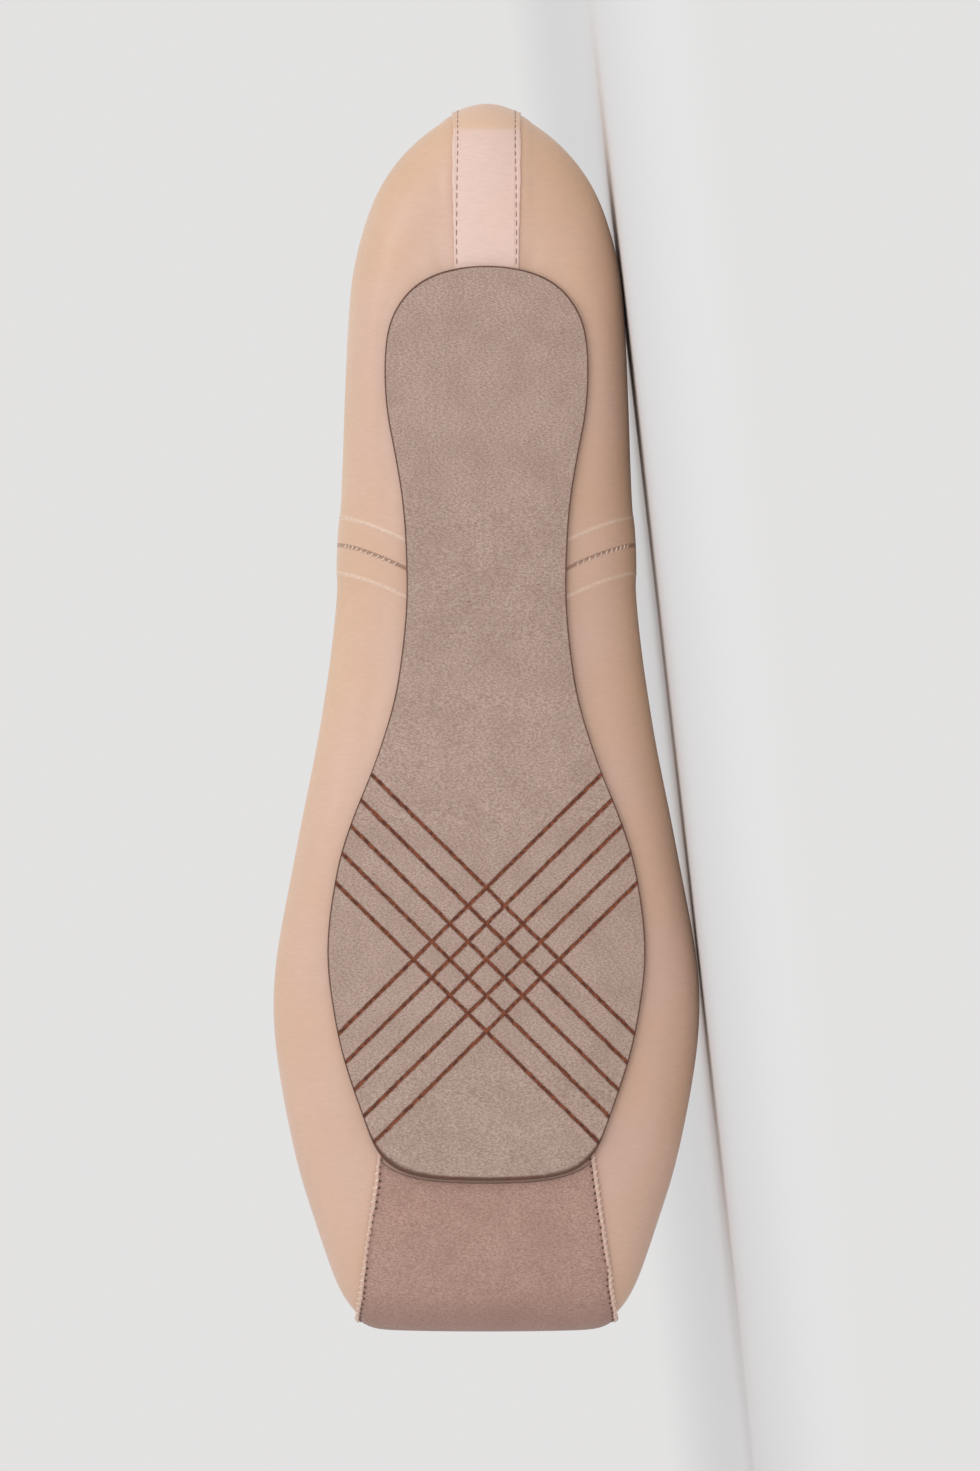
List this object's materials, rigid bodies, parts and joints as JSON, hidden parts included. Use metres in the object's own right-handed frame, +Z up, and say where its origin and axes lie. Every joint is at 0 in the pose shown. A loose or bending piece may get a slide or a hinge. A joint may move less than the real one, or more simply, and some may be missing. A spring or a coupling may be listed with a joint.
{
  "type": "pointe shoe",
  "caption": "Empty satin pointe shoe lying on its side: stiff squared box, narrow suede outsole with scored forefoot, suede toe patch, low open collar with a bound rim.",
  "frame": {"origin": "centre of the bounding box, at the floor that the shoe lies on", "axes": "+X towards the back of the heel, +Y away from the outsole towards the collar, +Z up from the floor to the shoe's upper side"},
  "size_m": [0.2478, 0.0534, 0.086],
  "materials": {
    "satin": "pale peach ballet satin with a soft sheen",
    "satin_tape": "pale pink satin tape with a soft sheen",
    "suede": "napped greyish brown suede",
    "patch_suede": "napped pinkish brown suede",
    "insole_cloth": "matt cream cotton"
  },
  "bodies": {
    "root": {"upper": "satin", "collar_binding": "satin_tape", "heel_strip": "satin_tape", "outsole": "suede", "toe_patch": "patch_suede", "insole": "insole_cloth"}
  },
  "joints": []
}
